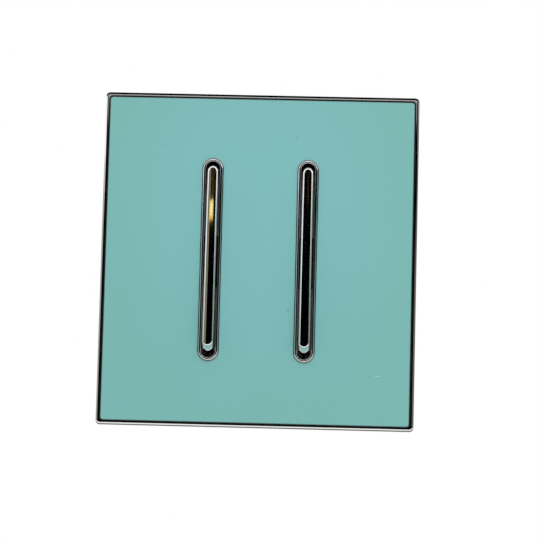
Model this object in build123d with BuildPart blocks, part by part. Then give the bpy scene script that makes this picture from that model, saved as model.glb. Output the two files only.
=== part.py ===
from build123d import *
import os
from math import cos, radians, sin, sqrt

# Double wall light switch: a glass panel in a thin chrome frame, with two slim rockers.
# All sizes are in millimetres. X runs to the right, Z up and Y into the wall.
# The wall surface is the plane Y = 0 and the origin is midway between the two fixing slots.
# A height is a distance from the wall surface into the room, so it is negative inside the wall.
# A level is a distance from a pivot axis, square to the piece that turns on it.

# Front plate
plate_width = 86.0
plate_height = 91.0
plate_depth = 8.0
frame_wall = 1.15
frame_corner = 1.2
frame_round = 0.75
frame_inner_bevel = 0.2
frame_ledge = 2.0
frame_ledge_thickness = 1.0
panel_gap = 0.15
panel_thickness = 2.5
panel_corner = 0.8
panel_bevel = 0.2

# Panel carrier
carrier_thickness = 2.0
carrier_slot_gap = 0.4
rib_thickness = 1.2
rib_height = 1.0
skirt_height = 2.2
cross_rib_x = 22.0
cross_rib_inset = 5.5
leg_x = 15.0
leg_width = 6.0
leg_thickness = 1.2
leg_length = 2.8
leg_gap = 0.15
barb_depth = 0.8
barb_height = 1.0

# Bezel rings round the rockers
gang_x = 12.97
bezel_slot_width = 3.95
bezel_slot_length = 53.6
bezel_band = 0.95
bezel_lip_band = 0.7
bezel_step = 0.45
bezel_lip_rise = 0.4
bezel_round = 0.06
bezel_lip_round = 0.36
bezel_inner_round = 0.15
collar_wall = 0.55
collar_gap = 0.1

# Rockers
pivot_height = -1.0
rocker_tilt = 4.1
rocker_width = 2.95
rocker_level = 12.0
rocker_skirt_level = 5.5
rocker_end_gap = 0.2
rocker_crown = 0.12
rocker_round = 0.65
channel_width = 1.65
channel_depth = 4.0
channel_length = 44.0

# Rocker cradles
spine_gap = 0.05
spine_end_rise = 0.1
stop_gap = 0.11
stop_reach = 20.0
block_width = 8.4
block_length = 12.0
block_top = 2.8
block_bottom = 3.0
block_corner = 1.0
neck_width = 3.0
neck_length = 10.0
tube_radius = 2.4
tube_length = 7.0
tube_roof = 0.4
pin_radius = 1.0
pin_gap = 0.05
pin_seat_depth = 2.5

# Plungers and their springs
plunger_radius = 1.2
plunger_gap = 0.075
plunger_reach = 14.0
plunger_length = 6.8
spring_wire_radius = 0.2
spring_coil_radius = 0.95
spring_turns = 3.5
spring_end_gap = 0.05

# Contact blades
blade_tilt = 7.0
blade_gap = 0.1
blade_thickness = 0.8
blade_width = 5.2
blade_half_length = 7.8
blade_notch_length = 1.4
blade_notch_depth = 0.8
blade_corner = 0.8
contact_offset = 6.4
contact_radius = 1.3
contact_base = 0.3
contact_rise = 0.55
contact_gap = 0.06
ridge_gap = 0.05

# Terminal strips
strip_thickness = 0.8
strip_width = 4.0
common_width = 3.0
common_leg_x = 4.0
ear_height = 1.3
ear_gap = 0.2
ear_width = 0.9

# Terminals
terminal_inset = 5.7
wire_size = 3.6
cage_wall = 0.8
cage_inner_width = 4.4
cage_length = 6.0
cage_back_gap = 0.3
cage_thread_wall = 1.6
clamp_screw_radius = 1.45
clamp_screw_gap = 0.05
clamp_head_radius = 2.3
clamp_head_height = 1.8
clamp_head_gap = 0.45
clamp_slot_width = 0.8
clamp_slot_depth = 0.9

# Switch module
module_margin = 5.95
module_height = 53.0
module_corner = 2.0
housing_wall = 1.6
housing_back_wall = 3.2
housing_floor_gap = 0.2
cover_depth = 4.0
cover_gap = 0.1
chamber_width = 9.0
chamber_length = 24.0
cover_pocket_length = 14.0
cage_pocket_gap = 0.2
strip_slot_gap = 0.1
ear_plate_reach = 2.5
ear_plate_inset = 2.0
ear_plate_length = 28.0
ear_plate_thickness = 1.0
clamp_hole_gap = 0.3
well_chamfer = 0.5
entry_chamfer = 0.5
back_recess_inset = 5.0
back_recess_margin = 1.4
back_recess_depth = 0.6
back_recess_corner = 1.5
cover_screw_inset = 4.3
cover_screw_radius = 1.0
cover_screw_head_radius = 1.9
cover_screw_head_height = 1.4
cover_screw_length = 12.7
cover_screw_sink = 0.1

# Mounting yoke
yoke_side_gap = 0.6
yoke_end_gap = 5.35
yoke_thickness = 1.2
yoke_corner = 4.0
fixing_spacing = 60.3
fixing_slot_width = 4.0
fixing_slot_length = 8.0
flange_width = 46.0
flange_window_gap = 0.1
fold_round = 0.6
bead_side_inset = 7.75
bead_end_inset = 16.0
bead_length = 20.0
bead_width = 3.0
bead_rise = 0.5

# Heights that follow from the sizes above
panel_face = plate_depth
panel_back = panel_face - panel_thickness
carrier_back = panel_back - carrier_thickness
cover_front = yoke_thickness
cover_back = -cover_depth
blade_height = pivot_height - plunger_reach - blade_gap - blade_thickness
ridge_top = blade_height - ridge_gap
contact_apex = blade_height - contact_offset * sin(radians(blade_tilt)) - contact_rise * cos(
    radians(blade_tilt)
)
strip_front = contact_apex - contact_gap - contact_rise
strip_back = strip_front - strip_thickness
cage_front = strip_front + wire_size + cage_wall
cage_thread_face = strip_back - cage_back_gap
cage_back = cage_thread_face - cage_thread_wall
pocket_floor = cage_back - housing_floor_gap
housing_back = pocket_floor - housing_back_wall
clamp_head_front = cage_back - clamp_head_gap
clamp_head_back = clamp_head_front - clamp_head_height

# Plan sizes that follow from the sizes above
opening_width = plate_width - 2 * frame_wall
opening_height = plate_height - 2 * frame_wall
panel_width = opening_width - 2 * panel_gap
panel_height = opening_height - 2 * panel_gap
yoke_width = opening_width - 2 * frame_ledge - 2 * yoke_side_gap
yoke_height = opening_height - 2 * frame_ledge - 2 * yoke_end_gap
cross_rib_z = yoke_height / 2 - cross_rib_inset
bead_x = yoke_width / 2 - bead_side_inset
bead_z = yoke_height / 2 - bead_end_inset
bezel_width = bezel_slot_width + 2 * bezel_band
bezel_length = bezel_slot_length + 2 * bezel_band
collar_width = bezel_slot_width + 2 * collar_wall
collar_length = bezel_slot_length + 2 * collar_wall
module_width = 2 * gang_x + chamber_width + 2 * module_margin
cover_screw_x = module_width / 2 - cover_screw_inset
terminal_z = module_height / 2 - terminal_inset
mouth_width = module_width - 2 * housing_wall
mouth_height = module_height - 2 * housing_wall
fixed_contact_z = contact_offset * cos(radians(blade_tilt)) - contact_rise * sin(radians(blade_tilt))
cage_width = cage_inner_width + 2 * cage_wall
cage_pocket_width = cage_width + 2 * cage_pocket_gap
cage_pocket_length = mouth_height / 2 - terminal_z + cage_length / 2 + cage_pocket_gap
cage_pocket_z = mouth_height / 2 - cage_pocket_length / 2
well_radius = clamp_head_radius + clamp_hole_gap
back_recess_height = 2 * (terminal_z - well_radius - well_chamfer - back_recess_margin)

# The rocker's ends follow circles about the pivot, so their gap to the collar stays the same
collar_foot_level = panel_back - pivot_height
rocker_reach = sqrt((bezel_slot_length / 2 - rocker_end_gap) ** 2 + collar_foot_level**2)

sides = {"left": -1, "right": 1}


def wall_plane(height, x=0.0, z=0.0):
    """A plane parallel to the wall that looks into the room."""
    return Plane(origin=(x, -height, z), x_dir=(1, 0, 0), z_dir=(0, -1, 0))


def lever_plane(height, x, lean, level=0.0, along=0.0):
    """A plane on a lever whose front leans up by an angle, at a level above its pivot."""
    normal = Vector(0, -cos(radians(lean)), sin(radians(lean)))
    upward = Vector(0, sin(radians(lean)), cos(radians(lean)))
    origin = Vector(x, -height, 0) + normal * level + upward * along
    return Plane(origin=origin, x_dir=(1, 0, 0), z_dir=normal)


def profile_plane(height, x, lean=0.0):
    """A plane square to the pivot axis: its X runs up the lever and its Y is the level."""
    upward = (0, sin(radians(lean)), cos(radians(lean)))
    return Plane(origin=(x, -height, 0), x_dir=upward, z_dir=(1, 0, 0))


def section_plane(height, x, lean):
    """A plane across the lever: its X is the pivot axis and its Y is the level."""
    downward = (0, -sin(radians(lean)), -cos(radians(lean)))
    return Plane(origin=(x, -height, 0), x_dir=(1, 0, 0), z_dir=downward)


def make_trim_frame():
    """Chrome edge frame: a plain wall with a ledge behind the carrier's border."""
    with BuildPart() as frame:
        with BuildSketch(wall_plane(0)):
            RectangleRounded(plate_width, plate_height, frame_corner)
        extrude(amount=plate_depth)
        fillet(frame.faces().sort_by(Axis.Y)[0].edges(), frame_round)
        inner_corner = panel_corner + panel_gap
        with BuildSketch(wall_plane(carrier_back)):
            RectangleRounded(opening_width, opening_height, inner_corner)
        extrude(amount=plate_depth, mode=Mode.SUBTRACT)
        with BuildSketch(wall_plane(carrier_back - frame_ledge_thickness)):
            RectangleRounded(opening_width, opening_height, inner_corner)
        extrude(amount=-plate_depth, mode=Mode.SUBTRACT)
        with BuildSketch(wall_plane(0)):
            Rectangle(opening_width - 2 * frame_ledge, opening_height - 2 * frame_ledge)
        extrude(amount=plate_depth, mode=Mode.SUBTRACT)
        chamfer(frame.faces().sort_by(Axis.Y)[0].inner_wires()[0].edges(), frame_inner_bevel)
    return frame


def make_front_panel():
    """Glass plate with bevelled edges and a slot for each bezel collar."""
    with BuildPart() as panel:
        with BuildSketch(wall_plane(panel_back)):
            RectangleRounded(panel_width, panel_height, panel_corner)
        extrude(amount=panel_thickness)
        chamfer(panel.faces().sort_by(Axis.Y)[0].edges(), panel_bevel)
        with BuildSketch(wall_plane(panel_back)):
            with Locations((-gang_x, 0), (gang_x, 0)):
                SlotOverall(collar_length + 2 * collar_gap, collar_width + 2 * collar_gap, rotation=90)
        extrude(amount=panel_thickness, mode=Mode.SUBTRACT)
    return panel


def make_panel_carrier():
    """Moulded plate behind the glass: rocker slots, a skirt, cross ribs and four snap legs."""
    skirt_width = opening_width - 2 * frame_ledge - 2 * panel_gap
    skirt_length = opening_height - 2 * frame_ledge - 2 * panel_gap
    slot_length = 2 * rocker_reach + 2 * carrier_slot_gap
    slot_width = bezel_slot_width + carrier_slot_gap
    with BuildPart() as carrier:
        with BuildSketch(wall_plane(carrier_back)):
            RectangleRounded(panel_width, panel_height, panel_corner)
        extrude(amount=carrier_thickness)
        with BuildSketch(wall_plane(carrier_back)):
            Rectangle(skirt_width, skirt_length)
            Rectangle(skirt_width - 2 * rib_thickness, skirt_length - 2 * rib_thickness, mode=Mode.SUBTRACT)
        extrude(amount=-skirt_height)
        with BuildSketch(wall_plane(carrier_back)):
            with Locations((-cross_rib_x, 0), (0, 0), (cross_rib_x, 0)):
                Rectangle(rib_thickness, 2 * cross_rib_z)
            with Locations((0, -cross_rib_z), (0, cross_rib_z)):
                Rectangle(skirt_width - rib_thickness, rib_thickness)
            with Locations((-gang_x, 0), (gang_x, 0)):
                SlotOverall(slot_length + 2 * rib_thickness, slot_width + 2 * rib_thickness, rotation=90)
        extrude(amount=-rib_height)
        with BuildSketch(wall_plane(carrier_back - rib_height)):
            with Locations((-gang_x, 0), (gang_x, 0)):
                SlotOverall(slot_length, slot_width, rotation=90)
        extrude(amount=rib_height + carrier_thickness, mode=Mode.SUBTRACT)
        leg_foot = carrier_back - leg_length
        leg_inner = yoke_height / 2 + leg_gap
        barb_top = leg_foot + leg_length / 2 + barb_height / 2
        for x in (-leg_x, leg_x):
            for up in (-1, 1):
                with BuildSketch(profile_plane(0, x)):
                    with BuildLine():
                        Polyline(
                            (up * leg_inner, carrier_back),
                            (up * leg_inner, barb_top),
                            (up * (leg_inner - barb_depth), barb_top),
                            (up * leg_inner, barb_top - barb_height),
                            (up * leg_inner, leg_foot),
                            (up * (leg_inner + leg_thickness), leg_foot),
                            (up * (leg_inner + leg_thickness), carrier_back),
                            close=True,
                        )
                    make_face()
                extrude(amount=leg_width / 2, both=True)
    return carrier


def make_bezel(x):
    """Chrome ring with a stepped double bead and a collar through the glass."""
    with BuildPart() as bezel:
        with BuildSketch(wall_plane(panel_face, x)):
            SlotOverall(bezel_length, bezel_width, rotation=90)
        extrude(amount=bezel_step)
        fillet(bezel.faces().sort_by(Axis.Y)[0].edges(), bezel_round)
        with BuildSketch(wall_plane(panel_face, x)):
            SlotOverall(
                bezel_slot_length + 2 * bezel_lip_band, bezel_slot_width + 2 * bezel_lip_band, rotation=90
            )
        extrude(amount=bezel_step + bezel_lip_rise)
        with BuildSketch(wall_plane(panel_face, x)):
            SlotOverall(collar_length, collar_width, rotation=90)
        extrude(amount=-panel_thickness)
        with BuildSketch(wall_plane(panel_back, x)):
            SlotOverall(bezel_slot_length, bezel_slot_width, rotation=90)
        extrude(amount=plate_depth, mode=Mode.SUBTRACT)
        fillet(bezel.faces().sort_by(Axis.Y)[0].outer_wire().edges(), bezel_lip_round)
        fillet(bezel.faces().sort_by(Axis.Y)[0].inner_wires()[0].edges(), bezel_inner_round)
    return bezel


def make_rocker_cap(x):
    """Slim crowned rocker whose round ends follow circles about the pivot."""
    half = rocker_width / 2
    shoulder = rocker_level - rocker_crown
    with BuildPart() as cap:
        with BuildSketch(section_plane(pivot_height, x, rocker_tilt)):
            with BuildLine():
                walls = Polyline(
                    (-half, shoulder),
                    (-half, rocker_skirt_level),
                    (half, rocker_skirt_level),
                    (half, shoulder),
                )
                ThreePointArc(walls @ 1, (0, rocker_level), walls @ 0)
            make_face()
        extrude(amount=rocker_reach, both=True)
        with BuildSketch(lever_plane(pivot_height, x, rocker_tilt)):
            with BuildLine():
                hub = Polyline(
                    (-half, rocker_reach - half),
                    (-half, 0),
                    (half, 0),
                    (half, rocker_reach - half),
                )
                ThreePointArc(hub @ 1, (0, rocker_reach), hub @ 0)
            make_face()
        revolve(axis=Axis((x, -pivot_height, 0), (1, 0, 0)), mode=Mode.INTERSECT)
        crown = cap.faces().filter_by(GeomType.CYLINDER).sort_by(SortBy.AREA)[-1]
        fillet(crown.edges(), rocker_round)
        with BuildSketch(lever_plane(pivot_height, x, rocker_tilt, rocker_skirt_level)):
            Rectangle(channel_width, channel_length)
        extrude(amount=channel_depth, mode=Mode.SUBTRACT)
    return cap


def make_rocker_cradle(x):
    """Moulded carrier: a spine in the cap's channel, a pivot block and a plunger tube."""
    spine_half = channel_length / 2 - spine_gap
    spine_top = rocker_skirt_level + channel_depth
    dip = stop_reach * sin(radians(rocker_tilt))
    stop_level = (cover_front + stop_gap - pivot_height + dip) / cos(radians(rocker_tilt))
    profile = profile_plane(pivot_height, x, rocker_tilt)
    with BuildPart() as cradle:
        with BuildSketch(profile):
            with BuildLine():
                Polyline(
                    (-spine_half, spine_top),
                    (-spine_half, rocker_skirt_level + spine_end_rise),
                    (-stop_reach, stop_level),
                    (stop_reach, stop_level),
                    (spine_half, rocker_skirt_level + spine_end_rise),
                    (spine_half, spine_top),
                    close=True,
                )
            make_face()
        extrude(amount=channel_width / 2 - spine_gap, both=True)
        with BuildSketch(profile):
            with Locations((0, (block_top - block_bottom) / 2)):
                RectangleRounded(block_length, block_top + block_bottom, block_corner)
        extrude(amount=block_width / 2, both=True)
        with BuildSketch(lever_plane(pivot_height, x, rocker_tilt)):
            Rectangle(neck_width, neck_length)
        extrude(amount=rocker_skirt_level - spine_end_rise)
        with BuildSketch(lever_plane(pivot_height, x, rocker_tilt)):
            Circle(tube_radius)
        extrude(amount=-block_bottom - tube_length)
        with BuildSketch(profile):
            Circle(pin_radius + pin_gap)
        extrude(amount=block_width, both=True, mode=Mode.SUBTRACT)
        with BuildSketch(lever_plane(pivot_height, x, rocker_tilt, -block_bottom - tube_roof)):
            Circle(plunger_radius + plunger_gap)
        extrude(amount=-tube_length, mode=Mode.SUBTRACT)
    return cradle


def make_plunger(x):
    """Round pusher with a domed tip that runs on the contact blade."""
    tip_centre = plunger_reach - plunger_radius
    top = plunger_reach - plunger_length
    with BuildPart() as plunger:
        with BuildSketch(section_plane(pivot_height, x, rocker_tilt)):
            with BuildLine():
                side = Polyline(
                    (0, -plunger_reach),
                    (0, -top),
                    (plunger_radius, -top),
                    (plunger_radius, -tip_centre),
                )
                RadiusArc(side @ 1, side @ 0, plunger_radius)
            make_face()
        axis_plane = lever_plane(pivot_height, x, rocker_tilt)
        revolve(axis=Axis(axis_plane.origin, axis_plane.z_dir))
    return plunger


def make_plunger_spring(x):
    """Open coil between the tube's roof and the plunger's top, in eight-sided wire."""
    top = -block_bottom - tube_roof - spring_end_gap - spring_wire_radius
    bottom = plunger_length - plunger_reach + spring_end_gap + spring_wire_radius
    height = top - bottom
    foot = lever_plane(pivot_height, x, rocker_tilt, bottom)
    with BuildPart() as spring:
        with BuildLine() as coil:
            Helix(height / spring_turns, height, spring_coil_radius, foot.origin, foot.z_dir)
        with BuildSketch(Plane(origin=coil.line @ 0, z_dir=coil.line % 0)):
            RegularPolygon(spring_wire_radius, 8)
        sweep(path=coil.line, is_frenet=True)
    return spring


def make_pivot_pin(x):
    """Steel pin across the rocker's pocket."""
    with BuildPart() as pin:
        with BuildSketch(profile_plane(pivot_height, x)):
            Circle(pin_radius)
        extrude(amount=chamber_width / 2 + pin_seat_depth, both=True)
    return pin


def make_contact_blade(x):
    """See-saw blade with a waist that sits between the ears of the common strip."""
    with BuildPart() as blade:
        with BuildSketch(lever_plane(blade_height, x, -blade_tilt)):
            RectangleRounded(blade_width, 2 * blade_half_length, blade_corner)
            with Locations((-blade_width / 2, 0), (blade_width / 2, 0)):
                Rectangle(2 * blade_notch_depth, blade_notch_length, mode=Mode.SUBTRACT)
        extrude(amount=blade_thickness)
    return blade


def contact_button(seat):
    """A domed contact button that stands on the seat plane."""
    dome_rise = contact_rise - contact_base
    dome_radius = (contact_radius**2 + dome_rise**2) / (2 * dome_rise)
    with BuildPart() as button:
        with BuildSketch(Plane(origin=seat.origin, x_dir=seat.x_dir, z_dir=-seat.y_dir)):
            with BuildLine():
                base = Polyline(
                    (0, contact_rise),
                    (0, 0),
                    (contact_radius, 0),
                    (contact_radius, contact_base),
                )
                RadiusArc(base @ 1, base @ 0, -dome_radius)
            make_face()
        revolve(axis=Axis(seat.origin, seat.z_dir))
    return button.part


def make_moving_contacts(x):
    """Two buttons on the back of the blade."""
    seats = [
        lever_plane(blade_height, x, -blade_tilt, 0, along) for along in (-contact_offset, contact_offset)
    ]
    buttons = [
        contact_button(Plane(origin=seat.origin, x_dir=seat.x_dir, z_dir=-seat.z_dir)) for seat in seats
    ]
    with BuildPart() as contacts:
        add(buttons)
    return contacts


def make_fixed_contacts():
    """Four buttons on the upper and lower strips."""
    places = [(x, z) for x in (-gang_x, gang_x) for z in (-fixed_contact_z, fixed_contact_z)]
    buttons = [contact_button(wall_plane(strip_front, x, z)) for x, z in places]
    with BuildPart() as contacts:
        add(buttons)
    return contacts


def make_outer_strip(x, up):
    """Flat strip from a fixed contact to an upper or lower terminal."""
    inner = fixed_contact_z - contact_radius
    outer = terminal_z + cage_length / 2
    with BuildPart() as strip:
        with BuildSketch(wall_plane(strip_front, x, up * (inner + outer) / 2)):
            Rectangle(strip_width, outer - inner)
        extrude(amount=-strip_thickness)
    return strip


def make_common_strip(side):
    """L-shaped strip with a rounded knife edge and two ears that carry the blade."""
    x = side * gang_x
    leg_centre = side * common_leg_x
    far_end = terminal_z + cage_length / 2
    ear_inner = blade_width / 2 - blade_notch_depth + ear_gap
    foot_outer = x + side * (ear_inner + ear_width)
    foot_inner = leg_centre - side * strip_width / 2
    with BuildPart() as strip:
        with BuildSketch(wall_plane(strip_front)):
            with Locations(((foot_outer + foot_inner) / 2, 0)):
                Rectangle(abs(foot_outer - foot_inner), common_width)
            with Locations((leg_centre, -side * (far_end - common_width / 2) / 2)):
                Rectangle(strip_width, far_end + common_width / 2)
        extrude(amount=-strip_thickness)
        with BuildSketch(profile_plane(0, x)):
            with Locations((0, (ridge_top - strip_thickness / 2 + strip_back) / 2)):
                Rectangle(strip_thickness, ridge_top - strip_thickness / 2 - strip_back)
            with Locations((0, ridge_top - strip_thickness / 2)):
                Circle(strip_thickness / 2)
        extrude(amount=ear_inner + ear_width, both=True)
        with BuildSketch(wall_plane(strip_front)):
            with Locations((x - ear_inner - ear_width / 2, 0), (x + ear_inner + ear_width / 2, 0)):
                Rectangle(ear_width, strip_thickness)
        extrude(amount=ridge_top + ear_height - strip_front)
    return strip


def terminal_places():
    """Centres of the six terminals, each with the way that its wire enters."""
    outer = [(x, up) for x in (-gang_x, gang_x) for up in (-1, 1)]
    common = [(side * common_leg_x, -side) for side in (-1, 1)]
    return outer + common


def make_terminal_cages():
    """Six square clamp cages, open along the wire, with a threaded back wall."""
    inner_depth = cage_front - cage_wall - cage_thread_face
    with BuildPart() as cages:
        for x, up in terminal_places():
            with BuildSketch(Plane.XY.offset(up * terminal_z - cage_length / 2)):
                with Locations((x, -(cage_front + cage_back) / 2)):
                    Rectangle(cage_width, cage_front - cage_back)
                with Locations((x, -(cage_front - cage_wall - inner_depth / 2))):
                    Rectangle(cage_inner_width, inner_depth, mode=Mode.SUBTRACT)
            extrude(amount=cage_length)
            with BuildSketch(wall_plane(cage_back, x, up * terminal_z)):
                Circle(clamp_screw_radius + clamp_screw_gap)
            extrude(amount=cage_thread_wall, mode=Mode.SUBTRACT)
    return cages


def make_terminal_screws():
    """Six slotted clamp screws that press the strips from behind."""
    tip = strip_back - clamp_screw_gap
    with BuildPart() as screws:
        for x, up in terminal_places():
            with BuildSketch(wall_plane(clamp_head_back, x, up * terminal_z)):
                Circle(clamp_head_radius)
            extrude(amount=clamp_head_height)
            with BuildSketch(wall_plane(clamp_head_front, x, up * terminal_z)):
                Circle(clamp_screw_radius)
            extrude(amount=tip - clamp_head_front)
            with BuildSketch(wall_plane(clamp_head_back, x, up * terminal_z)):
                Rectangle(2 * clamp_head_radius, clamp_slot_width)
            extrude(amount=clamp_slot_depth, mode=Mode.SUBTRACT)
    return screws


def cover_screw_places():
    """Centres of the four screws at the module's corners."""
    return [(x, z) for x in (-cover_screw_x, cover_screw_x) for z in (-terminal_z, terminal_z)]


def make_housing_screws():
    """Four round-head screws that hold the cover on the housing."""
    head_top = cover_front - cover_screw_sink
    head_seat = head_top - cover_screw_head_height
    with BuildPart() as screws:
        for x, z in cover_screw_places():
            with BuildSketch(wall_plane(head_seat, x, z)):
                Circle(cover_screw_head_radius)
            extrude(amount=cover_screw_head_height)
            with BuildSketch(wall_plane(head_seat, x, z)):
                Circle(cover_screw_radius)
            extrude(amount=-cover_screw_length)
            with BuildSketch(wall_plane(head_top, x, z)):
                Rectangle(2 * cover_screw_head_radius, clamp_slot_width)
            extrude(amount=-clamp_slot_depth, mode=Mode.SUBTRACT)
    return screws


def make_mechanism_cover():
    """Front of the switch module: rocker pockets, pin seats and ears that lie on the yoke."""
    block_w = mouth_width - 2 * cover_gap
    block_h = mouth_height - 2 * cover_gap
    pin_seat = gang_x - chamber_width / 2 - pin_seat_depth - cover_gap
    with BuildPart() as cover:
        with BuildSketch(wall_plane(cover_back)):
            RectangleRounded(block_w, block_h, module_corner - cover_gap)
        extrude(amount=cover_front - cover_back)
        with BuildSketch(wall_plane(cover_front)):
            for side in (-1, 1):
                with Locations((side * (mouth_width + ear_plate_reach - ear_plate_inset) / 2, 0)):
                    Rectangle(ear_plate_reach + ear_plate_inset, ear_plate_length)
        extrude(amount=ear_plate_thickness)
        with BuildSketch(wall_plane(cover_back)):
            with Locations((-gang_x, 0), (gang_x, 0)):
                Rectangle(chamber_width, cover_pocket_length)
        extrude(amount=cover_front - cover_back, mode=Mode.SUBTRACT)
        for side in (-1, 1):
            with BuildSketch(profile_plane(pivot_height, side * pin_seat)):
                Circle(pin_radius + pin_gap)
            extrude(amount=side * (block_w / 2 - pin_seat), mode=Mode.SUBTRACT)
        for x, z in cover_screw_places():
            with Locations(wall_plane(cover_front, x, z)):
                CounterBoreHole(
                    cover_screw_radius + clamp_hole_gap,
                    cover_screw_head_radius + cover_gap,
                    cover_screw_head_height + cover_screw_sink,
                )
    return cover


def make_rear_housing():
    """Back of the switch module: mouth, contact chambers, terminal pockets and a back recess."""
    with BuildPart() as housing:
        with BuildSketch(wall_plane(housing_back)):
            RectangleRounded(module_width, module_height, module_corner)
        extrude(amount=-housing_back)
        fillet(housing.faces().sort_by(Axis.Y)[-1].edges(), housing_wall / 2)
        with BuildSketch(wall_plane(cover_back)):
            RectangleRounded(mouth_width, mouth_height, module_corner)
        extrude(amount=-cover_back, mode=Mode.SUBTRACT)
        with BuildSketch(wall_plane(strip_back)):
            with Locations((-gang_x, 0), (gang_x, 0)):
                Rectangle(chamber_width, chamber_length)
                Rectangle(strip_width + 2 * strip_slot_gap, 2 * cage_pocket_z)
            for side in (-1, 1):
                with Locations((side * (common_leg_x + gang_x) / 2, 0)):
                    Rectangle(gang_x - common_leg_x, common_width + 2 * strip_slot_gap)
                leg_end = -side * (cage_pocket_z + common_width / 2)
                with Locations((side * common_leg_x, leg_end / 2 + side * common_width / 2)):
                    Rectangle(strip_width + 2 * strip_slot_gap, cage_pocket_z + 5 * common_width / 2)
        extrude(amount=cover_back - strip_back, mode=Mode.SUBTRACT)
        with BuildSketch(wall_plane(pocket_floor)):
            for x, up in terminal_places():
                with Locations((x, up * cage_pocket_z)):
                    Rectangle(cage_pocket_width, cage_pocket_length)
        extrude(amount=cover_back - pocket_floor, mode=Mode.SUBTRACT)
        for x, up in terminal_places():
            wire_centre = strip_front + wire_size / 2
            with BuildSketch(Plane.XY.offset(up * mouth_height / 2)):
                with Locations((x, -wire_centre)):
                    Rectangle(wire_size, wire_size)
            extrude(amount=up * housing_wall, mode=Mode.SUBTRACT)
            with BuildSketch(Plane(origin=(x, -wire_centre, up * module_height / 2), z_dir=(0, 0, -up))):
                Rectangle(wire_size + 2 * entry_chamfer, wire_size + 2 * entry_chamfer)
            extrude(amount=entry_chamfer, taper=45, mode=Mode.SUBTRACT)
            with BuildSketch(wall_plane(housing_back, x, up * terminal_z)):
                Circle(well_radius)
            extrude(amount=housing_back_wall, mode=Mode.SUBTRACT)
            with BuildSketch(wall_plane(housing_back, x, up * terminal_z)):
                Circle(well_radius + well_chamfer)
            extrude(amount=well_chamfer, taper=45, mode=Mode.SUBTRACT)
        with BuildSketch(wall_plane(housing_back)):
            RectangleRounded(module_width - 2 * back_recess_inset, back_recess_height, back_recess_corner)
        extrude(amount=back_recess_depth, mode=Mode.SUBTRACT)
        for x, z in cover_screw_places():
            with BuildSketch(wall_plane(cover_back, x, z)):
                Circle(cover_screw_radius + clamp_screw_gap)
            extrude(amount=-cover_screw_length, mode=Mode.SUBTRACT)
    return housing


def make_mounting_yoke():
    """Pressed steel plate: module window, fixing slots, stiffening beads and folded flanges."""
    window_bottom = carrier_back - leg_length / 2 - barb_height / 2 - flange_window_gap
    with BuildPart() as yoke:
        with BuildSketch(wall_plane(0)):
            RectangleRounded(yoke_width, yoke_height, yoke_corner)
            RectangleRounded(mouth_width, mouth_height, module_corner, mode=Mode.SUBTRACT)
            with Locations((-fixing_spacing / 2, 0), (fixing_spacing / 2, 0)):
                SlotOverall(fixing_slot_length, fixing_slot_width, mode=Mode.SUBTRACT)
        extrude(amount=yoke_thickness)
        for up in (-1, 1):
            with BuildSketch(wall_plane(0, 0, up * (yoke_height - yoke_thickness) / 2)):
                Rectangle(flange_width, yoke_thickness)
            extrude(amount=carrier_back)
        fold_z = yoke_height / 2 - yoke_thickness
        folds = yoke.edges().filter_by(Axis.X).filter_by_position(Axis.Y, -yoke_thickness, -yoke_thickness)
        fillet(folds.filter_by(lambda edge: abs(abs(edge.center().Z) - fold_z) < fold_round / 2), fold_round)
        with BuildSketch(wall_plane(0)) as bead_places:
            with GridLocations(2 * bead_x, 2 * bead_z, 2, 2):
                SlotOverall(bead_length, bead_width, rotation=90)
        extrude(bead_places.sketch, amount=yoke_thickness + bead_rise)
        with BuildSketch(wall_plane(0)):
            with GridLocations(2 * bead_x, 2 * bead_z, 2, 2):
                SlotOverall(bead_length - yoke_thickness, bead_width - yoke_thickness, rotation=90)
        extrude(amount=bead_rise, mode=Mode.SUBTRACT)
        with BuildSketch(wall_plane(window_bottom)):
            for x in (-leg_x, leg_x):
                for up in (-1, 1):
                    with Locations((x, up * (yoke_height - yoke_thickness) / 2)):
                        Rectangle(leg_width + 2 * leg_gap, 2 * yoke_thickness)
        extrude(amount=barb_height + 2 * flange_window_gap, mode=Mode.SUBTRACT)
    return yoke


pieces = {
    "trim_frame": make_trim_frame(),
    "front_panel": make_front_panel(),
    "panel_carrier": make_panel_carrier(),
    "mounting_yoke": make_mounting_yoke(),
    "mechanism_cover": make_mechanism_cover(),
    "rear_housing": make_rear_housing(),
    "fixed_contacts": make_fixed_contacts(),
    "terminal_cages": make_terminal_cages(),
    "terminal_screws": make_terminal_screws(),
    "housing_screws": make_housing_screws(),
}
for name, side in sides.items():
    x = side * gang_x
    pieces["bezel_" + name] = make_bezel(x)
    pieces["rocker_cap_" + name] = make_rocker_cap(x)
    pieces["rocker_cradle_" + name] = make_rocker_cradle(x)
    pieces["plunger_" + name] = make_plunger(x)
    pieces["plunger_spring_" + name] = make_plunger_spring(x)
    pieces["pivot_pin_" + name] = make_pivot_pin(x)
    pieces["contact_blade_" + name] = make_contact_blade(x)
    pieces["moving_contacts_" + name] = make_moving_contacts(x)
    pieces["upper_strip_" + name] = make_outer_strip(x, 1)
    pieces["lower_strip_" + name] = make_outer_strip(x, -1)
    pieces["common_strip_" + name] = make_common_strip(side)

os.makedirs("parts", exist_ok=True)
for name, piece in pieces.items():
    piece.part.label = name
    export_step(piece.part, "parts/" + name + ".step")
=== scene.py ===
# %% [markdown]
# # Double wall light switch
#
# A flat turquoise glass plate in a thin chrome frame, with two slim chrome rockers in chrome
# rings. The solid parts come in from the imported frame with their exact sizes. This lesson gives
# each of them its finish, makes the rings, the clamp screws and the plunger springs again in
# finer form, and then lights and frames the switch as a studio photograph would.
#
# Everything is in metres. X runs to the right, Z up and Y into the wall.

from math import cos, hypot, pi, radians, sin

import bpy
from mathutils import Matrix, Quaternion, Vector


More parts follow.
